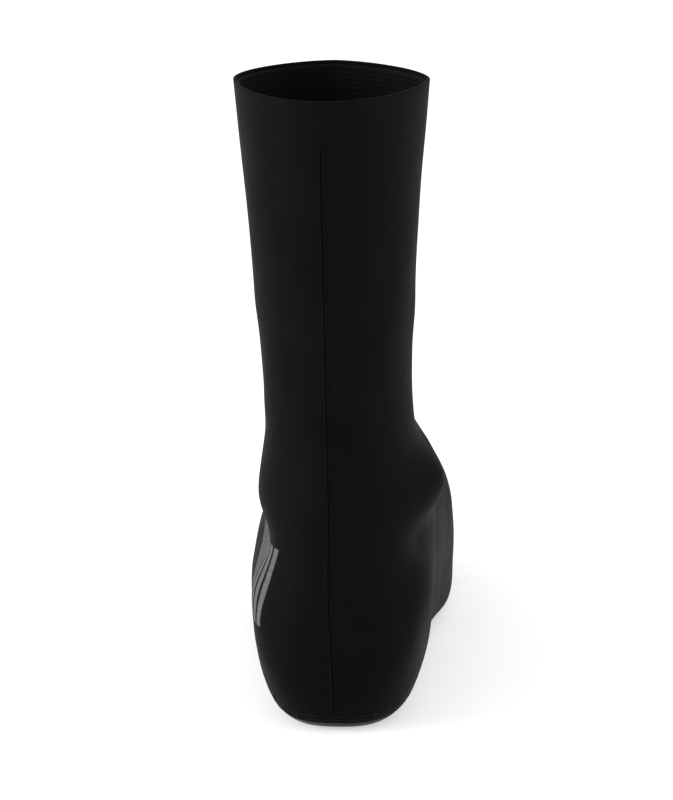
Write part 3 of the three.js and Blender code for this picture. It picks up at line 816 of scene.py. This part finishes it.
class Nodes:
    """Short calls for the nodes of one finish"""

    def __init__(self, name):
        self.finish = bpy.data.materials.new(name)
        self.finish.use_nodes = True
        self.tree = self.finish.node_tree
        self.shader = self.tree.nodes["Principled BSDF"]

    def link(self, source, socket):
        self.tree.links.new(source, socket)

    def node(self, kind, inputs=None, **settings):
        node = self.tree.nodes.new(kind)
        for key, value in settings.items():
            setattr(node, key, value)
        for key, value in (inputs or {}).items():
            if isinstance(value, bpy.types.NodeSocket):
                self.link(value, node.inputs[key])
            else:
                node.inputs[key].default_value = value
        return node

    def maths(self, operation, first, second=0.0, third=0.0):
        return self.node("ShaderNodeMath", {0: first, 1: second, 2: third}, operation=operation).outputs[0]

    def place(self):
        """Place on the object, as three separate lengths"""
        source = self.node("ShaderNodeTexCoord").outputs["Object"]
        return source, self.node("ShaderNodeSeparateXYZ", {0: source}).outputs

    def map_place(self, name):
        """Place on one of the piece's own maps"""
        source = self.node("ShaderNodeUVMap", uv_map=name).outputs["UV"]
        return source, self.node("ShaderNodeSeparateXYZ", {0: source}).outputs

    def noise(self, source, scale, detail=2.0, roughness=0.5):
        inputs = {"Vector": source, "Scale": scale, "Detail": detail, "Roughness": roughness}
        return self.node("ShaderNodeTexNoise", inputs).outputs["Fac"]

    def ramp(self, value, low, high, first=0.0, second=1.0):
        """Goes smoothly from first at low to second at high"""
        inputs = {"Value": value, "From Min": low, "From Max": high, "To Min": first, "To Max": second}
        return self.node("ShaderNodeMapRange", inputs, interpolation_type="SMOOTHSTEP").outputs["Result"]

    def mix(self, share_of_second, first, second):
        inputs = {"Factor": share_of_second, "A": first, "B": second}
        node = self.tree.nodes.new("ShaderNodeMix")
        node.data_type = "RGBA"
        sockets = {"Factor": node.inputs[0], "A": node.inputs[6], "B": node.inputs[7]}
        for key, value in inputs.items():
            if isinstance(value, bpy.types.NodeSocket):
                self.link(value, sockets[key])
            else:
                sockets[key].default_value = value
        return node.outputs[2]

    def bump(self, height, depth, strength=1.0, normal=None):
        inputs = {"Height": height, "Distance": depth, "Strength": strength}
        if normal is not None:
            inputs["Normal"] = normal
        return self.node("ShaderNodeBump", inputs).outputs["Normal"]

    def wave(self, value, spacing, phase=0.0):
        """Cosine wave of a length, between 0 and 1"""
        turned = self.maths("MULTIPLY_ADD", value, 2 * math.pi / spacing, phase)
        return self.maths("MULTIPLY_ADD", self.maths("COSINE", turned), 0.5, 0.5)

    def gloss(self, roughness, specular, sheen=0.0, sheen_roughness=0.4):
        shader = self.shader
        if isinstance(roughness, bpy.types.NodeSocket):
            self.link(roughness, shader.inputs["Roughness"])
        else:
            shader.inputs["Roughness"].default_value = roughness
        shader.inputs["Specular IOR Level"].default_value = specular
        shader.inputs["Sheen Weight"].default_value = sheen
        shader.inputs["Sheen Roughness"].default_value = sheen_roughness


def rgba(value):
    return (*value, 1.0)


BARS = dict(
    low=0.044, high=0.0755, back=-0.14, front=-0.0784, slant=0.25, spacing=0.0056, width=0.0036, edge=0.0003
)


def reflective_bars(nodes, place):
    """Mask of thin slanted bars on the outer side of the heel: where a wave of the slanted place ahead lies near
    its crest, between two heights and two ends, and only on the outer side."""
    slanted = nodes.maths("MULTIPLY_ADD", place[2], -BARS["slant"], place[1])
    turn = nodes.maths("DIVIDE", nodes.maths("SUBTRACT", slanted, BARS["back"]), BARS["spacing"])
    beside = nodes.maths("ABSOLUTE", nodes.maths("SUBTRACT", nodes.maths("FRACT", turn), 0.5))
    half, edge = BARS["width"] / BARS["spacing"] / 2, BARS["edge"] / BARS["spacing"]
    mask = nodes.ramp(beside, half - edge, half + edge, 1.0, 0.0)
    middle, reach = (BARS["low"] + BARS["high"]) / 2, (BARS["high"] - BARS["low"]) / 2
    level = nodes.maths("ABSOLUTE", nodes.maths("SUBTRACT", place[2], middle))
    mask = nodes.maths("MULTIPLY", mask, nodes.ramp(level, reach - BARS["edge"], reach + BARS["edge"], 1.0, 0.0))
    count = round((BARS["front"] - BARS["back"]) / BARS["spacing"])
    beyond = nodes.maths("ABSOLUTE", nodes.maths("SUBTRACT", turn, count / 2))
    mask = nodes.maths("MULTIPLY", mask, nodes.ramp(beyond, count / 2 - 0.02, count / 2, 1.0, 0.0))
    return nodes.maths("MULTIPLY", mask, nodes.ramp(place[0], -0.012, -0.01, 1.0, 0.0))


def knit_finish(finish, sewing):
    """Near-black stretch knit: columns and rows of small loops on the cloth map, a soft nap, flat-lock threads
    across the seam, a shade of wear and the reflective bars."""
    nodes = Nodes("stretch_knit")
    source, place = nodes.place()
    _, cloth = nodes.map_place("cloth")
    _, seam = nodes.map_place("seam")
    cloud = nodes.noise(source, 38, 3)
    shade = nodes.mix(nodes.ramp(cloud, 0.35, 0.7), rgba(finish.knit), rgba(finish.knit_worn))
    # Bluer and a little darker towards the bottom of the heel, fading out upwards.
    low_heel = nodes.ramp(place[2], 0.012, 0.085, 1.0, 0.0)
    shade = nodes.mix(nodes.maths("MULTIPLY", low_heel, 0.5), shade, (0.0021, 0.0023, 0.0034, 1))
    bars = reflective_bars(nodes, place)
    worn = nodes.ramp(nodes.noise(source, 900, 2), 0.3, 0.62)
    bars = nodes.maths("MULTIPLY", bars, nodes.maths("MULTIPLY_ADD", worn, 0.35, 0.65))
    shade = nodes.mix(bars, shade, rgba(finish.reflective))
    nodes.link(shade, nodes.shader.inputs["Base Color"])
    wale = nodes.wave(cloth[0], finish.wale)
    half_step = nodes.maths("MULTIPLY", nodes.maths("SINE", nodes.maths("MULTIPLY", cloth[0], 2 * math.pi / finish.wale)), 1.2)
    rows = nodes.maths("MULTIPLY_ADD", cloth[1], 2 * math.pi / finish.course, half_step)
    loops = nodes.maths("MULTIPLY_ADD", nodes.maths("COSINE", rows), 0.5, 0.5)
    knit = nodes.maths("MULTIPLY", nodes.maths("ADD", nodes.maths("MULTIPLY", wale, 0.6), nodes.maths("MULTIPLY", loops, 0.4)), 1.0)
    knit = nodes.maths("MULTIPLY", knit, nodes.ramp(bars, 0.0, 1.0, 1.0, 0.35))
    fuzz = nodes.noise(source, 2600, 3, 0.6)
    normal = nodes.bump(fuzz, 0.00012, 0.35)
    normal = nodes.bump(knit, 0.00016, 0.5, normal)
    aside = nodes.maths("ABSOLUTE", seam[0])
    on_seam = nodes.ramp(aside, sewing.seam_width * 0.46, sewing.seam_width * 0.54, 1.0, 0.0)
    threads = nodes.maths("MULTIPLY", nodes.wave(seam[1], sewing.stitch_length * 0.5), on_seam)
    normal = nodes.bump(threads, 0.0003, 0.55, normal)
    nodes.link(normal, nodes.shader.inputs["Normal"])
    rough = nodes.ramp(cloud, 0.3, 0.75, 0.56, 0.66)
    nodes.gloss(rough, 0.026, 0.008, 0.35)
    return nodes.finish


def inside_finish(finish):
    """Brushed inner face of the knit: a short nap of fine noise, matt and a little darker."""
    nodes = Nodes("brushed_inside")
    source, _ = nodes.place()
    cloud = nodes.noise(source, 60, 3)
    shade = nodes.mix(cloud, rgba([0.8 * part for part in finish.inside]), rgba([1.2 * part for part in finish.inside]))
    nodes.link(shade, nodes.shader.inputs["Base Color"])
    nap = nodes.noise(source, 1400, 4, 0.65)
    nodes.link(nodes.bump(nap, 0.0004, 0.5), nodes.shader.inputs["Normal"])
    nodes.gloss(nodes.ramp(nap, 0.3, 0.7, 0.8, 0.95), 0.04, 0.02, 0.5)
    return nodes.finish


def coating_finish(finish):
    """Coated cloth of the sole: small rounded cells of grip under a satin skin, rubbed brighter here and there."""
    nodes = Nodes("coated_cloth")
    source, place = nodes.place()
    rub = nodes.ramp(nodes.noise(source, 45, 4), 0.4, 0.75)
    lighter = rgba([1.6 * part for part in finish.coating])
    nodes.link(nodes.mix(rub, rgba(finish.coating), lighter), nodes.shader.inputs["Base Color"])
    inputs = {"Vector": source, "Scale": 620, "Smoothness": 0.6}
    cells = nodes.node("ShaderNodeTexVoronoi", inputs, feature="SMOOTH_F1").outputs["Distance"]
    grain = nodes.bump(nodes.noise(source, 3000, 2), 0.00008, 0.3)
    grip = nodes.bump(nodes.ramp(cells, 0.15, 0.6, 1.0, 0.0), 0.0003, 0.6, grain)
    nodes.link(grip, nodes.shader.inputs["Normal"])
    nodes.gloss(nodes.ramp(rub, 0.0, 1.0, 0.5, 0.36), 0.16)
    return nodes.finish


def tape_finish(finish):
    """Gripper tape: fine threads across its ribs under a soft silicone gloss."""
    nodes = Nodes("gripper_tape")
    source, _ = nodes.place()
    _, cloth = nodes.map_place("cloth")
    cloud = nodes.noise(source, 90, 3)
    shade = nodes.mix(cloud, rgba(finish.tape), rgba([1.3 * part for part in finish.tape]))
    nodes.link(shade, nodes.shader.inputs["Base Color"])
    threads = nodes.maths("MULTIPLY", nodes.wave(cloth[0], 0.0007), nodes.wave(cloth[1], 0.0009))
    nodes.link(nodes.bump(threads, 0.00015, 0.5), nodes.shader.inputs["Normal"])
    nodes.gloss(nodes.ramp(cloud, 0.3, 0.7, 0.55, 0.7), 0.06, 0.01, 0.4)
    return nodes.finish


def thread_finish(finish):
    """Bonded thread: smooth and a little brighter than the cloth that it holds."""
    nodes = Nodes("sewing_thread")
    nodes.shader.inputs["Base Color"].default_value = rgba(finish.thread)
    source, _ = nodes.place()
    nodes.link(nodes.bump(nodes.noise(source, 5000, 2), 0.00005, 0.4), nodes.shader.inputs["Normal"])
    nodes.gloss(0.5, 0.12, 0.02, 0.4)
    return nodes.finish


# Stage


def camera_turn(target, position, pixel, size, focal):
    """Turn of a level camera whose picture of the target falls on a pixel: its aim is moved sideways and up by
    the miss until there is none."""
    aim = (target - position) / np.linalg.norm(target - position)
    for _ in range(30):
        right = np.cross(aim, [0, 0, 1])
        right /= np.linalg.norm(right)
        up = np.cross(right, aim)
        way = target - position
        across = size[0] / 2 + focal * (way @ right) / (way @ aim)
        down = size[1] / 2 - focal * (way @ up) / (way @ aim)
        aim = aim + right * (across - pixel[0]) / focal - up * (down - pixel[1]) / focal
        aim /= np.linalg.norm(aim)
    right = np.cross(aim, [0, 0, 1])
    right /= np.linalg.norm(right)
    return np.stack([right, np.cross(right, aim), -aim], 1)


def build_camera(stage, target):
    """Camera behind the heel at the photograph's distance, height and side, with a long lens."""
    flat, rise = math.cos(stage.elevation), math.sin(stage.elevation)
    slant = stage.distance / flat
    side, back = math.sin(stage.azimuth) * flat, -math.cos(stage.azimuth) * flat
    position = target + slant * np.array([side, back, rise])
    size = (stage.pixels_across, stage.pixels_up)
    focal = stage.pixels_per_millimetre * slant / MILLIMETRE
    turn = camera_turn(target, position, (stage.target_across, stage.target_down), size, focal)
    lens = bpy.data.cameras.new("camera")
    lens.sensor_width = 36
    lens.lens = focal * lens.sensor_width / max(size)
    lens.clip_end = 50
    camera = bpy.data.objects.new("camera", lens)
    camera.matrix_world = Matrix.Translation(position) @ Matrix(turn).to_4x4()
    bpy.context.scene.collection.objects.link(camera)
    bpy.context.scene.camera = camera


def soft_box(name, position, towards, width, height, power):
    """Rectangular area light that faces a point and stays out of the picture itself."""
    lamp = bpy.data.lights.new(name, "AREA")
    lamp.shape = "RECTANGLE"
    lamp.size, lamp.size_y = width, height
    lamp.energy = power
    light = bpy.data.objects.new(name, lamp)
    light.location = position
    light.rotation_euler = (Vector(towards) - Vector(position)).to_track_quat("-Z", "Y").to_euler()
    light.visible_camera = False
    bpy.context.scene.collection.objects.link(light)


def build_floor():
    """Round plain floor, lit a little from below like a light table, so that the shade on it stays faint."""
    turn = np.linspace(0, 2 * np.pi, 97)[:-1]
    radii = np.array([0.0, 0.3, 0.9, 2.0, 4.0])
    rings = radii[:, None, None] * np.stack([np.cos(turn), np.sin(turn), 0 * turn], -1)
    ids = closed(np.arange(len(radii) * len(turn)).reshape(len(radii), -1))
    nodes = Nodes("pale_floor")
    nodes.shader.inputs["Base Color"].default_value = (0.6, 0.6, 0.6, 1)
    nodes.shader.inputs["Roughness"].default_value = 0.9
    nodes.shader.inputs["Specular IOR Level"].default_value = 0.0
    nodes.shader.inputs["Emission Color"].default_value = (1, 1, 1, 1)
    nodes.shader.inputs["Emission Strength"].default_value = 0.5
    centre = np.array([0, 0, -0.0002])
    floor = mesh_piece("floor", rings.reshape(-1, 3), sheet(ids)[:, ::-1], centre, [nodes.finish])


# Operators


def current_last(context):
    scene = context.scene
    return Last(scene.overshoe_form, scene.overshoe_sewing)


class OVERSHOE_OT_upper(bpy.types.Operator):
    """Knitted upper with its seam, creases and cut rim"""

    bl_idname = "overshoe.upper"
    bl_label = "Knitted upper"
    bl_options = {"REGISTER", "UNDO"}

    def execute(self, context):
        scene = context.scene
        finishes = [knit_finish(scene.overshoe_finish, scene.overshoe_sewing), inside_finish(scene.overshoe_finish)]
        dress(build_upper(current_last(context), finishes), "upper")
        return {"FINISHED"}


class OVERSHOE_OT_sole_panel(bpy.types.Operator):
    """Coated sole panel with its bound openings"""

    bl_idname = "overshoe.sole_panel"
    bl_label = "Sole panel"
    bl_options = {"REGISTER", "UNDO"}

    def execute(self, context):
        dress(build_sole(current_last(context), coating_finish(context.scene.overshoe_finish)), "sole_panel")
        return {"FINISHED"}


class OVERSHOE_OT_gripper_tape(bpy.types.Operator):
    """Gripper tape inside the collar"""

    bl_idname = "overshoe.gripper_tape"
    bl_label = "Gripper tape"
    bl_options = {"REGISTER", "UNDO"}

    def execute(self, context):
        dress(build_tape(current_last(context), tape_finish(context.scene.overshoe_finish)), "collar_band")
        return {"FINISHED"}


class OVERSHOE_OT_sewing_thread(bpy.types.Operator):
    """Stitches round the openings and over the panel's edge"""

    bl_idname = "overshoe.sewing_thread"
    bl_label = "Sewing thread"
    bl_options = {"REGISTER", "UNDO"}

    def execute(self, context):
        dress(build_thread(current_last(context), thread_finish(context.scene.overshoe_finish)))
        return {"FINISHED"}


class OVERSHOE_OT_stage(bpy.types.Operator):
    """Camera, soft light and pale floor"""

    bl_idname = "overshoe.stage"
    bl_label = "Stage"
    bl_options = {"REGISTER", "UNDO"}

    def execute(self, context):
        scene = context.scene
        stage = scene.overshoe_stage
        place = current_last(context).place
        target = np.array([0, 0.012, 0]) + place
        build_camera(stage, target)
        soft_box("light_outer", (-1.5, -0.7, 0.55), (0, -0.09, 0.13), 0.7, 1.3, stage.outer_light)
        soft_box("light_inner", (1.5, -0.3, 0.3), (0, -0.09, 0.08), 0.7, 1.0, stage.inner_light)
        build_floor()
        world = bpy.data.worlds.new("white_surround")
        world.use_nodes = True
        world.node_tree.nodes["Background"].inputs["Color"].default_value = (1, 1, 1, 1)
        world.node_tree.nodes["Background"].inputs["Strength"].default_value = stage.sky
        scene.world = world
        scene.view_settings.view_transform = "Standard"
        return {"FINISHED"}


class OVERSHOE_PT_sidebar(bpy.types.Panel):
    """Lists the pieces and their sizes"""

    bl_idname = "OVERSHOE_PT_sidebar"
    bl_label = "Cycling overshoe"
    bl_space_type = "VIEW_3D"
    bl_region_type = "UI"
    bl_category = "Overshoe"

    def draw(self, context):
        layout = self.layout
        for operator in OPERATORS:
            layout.operator(operator.bl_idname)
        for group in (name for name, _ in GROUPS):
            settings = getattr(context.scene, group)
            box = layout.box()
            for name in type(settings).__annotations__:
                box.prop(settings, name)


GROUPS = (
    ("overshoe_form", OvershoeForm),
    ("overshoe_sewing", OvershoeSewing),
    ("overshoe_finish", OvershoeFinish),
    ("overshoe_stage", OvershoeStage),
)
OPERATORS = (
    OVERSHOE_OT_upper,
    OVERSHOE_OT_sole_panel,
    OVERSHOE_OT_gripper_tape,
    OVERSHOE_OT_sewing_thread,
    OVERSHOE_OT_stage,
)


def register():
    for _, group in GROUPS:
        bpy.utils.register_class(group)
    for name, group in GROUPS:
        setattr(bpy.types.Scene, name, PointerProperty(type=group))
    for operator in (*OPERATORS, OVERSHOE_PT_sidebar):
        bpy.utils.register_class(operator)


def unregister():
    for operator in reversed((*OPERATORS, OVERSHOE_PT_sidebar)):
        bpy.utils.unregister_class(operator)
    for name, group in reversed(GROUPS):
        delattr(bpy.types.Scene, name)
        bpy.utils.unregister_class(group)


def main():
    register()
    bpy.ops.overshoe.upper()
    bpy.ops.overshoe.sole_panel()
    bpy.ops.overshoe.gripper_tape()
    bpy.ops.overshoe.sewing_thread()
    bpy.ops.overshoe.stage()


if __name__ == "__main__":
    main()
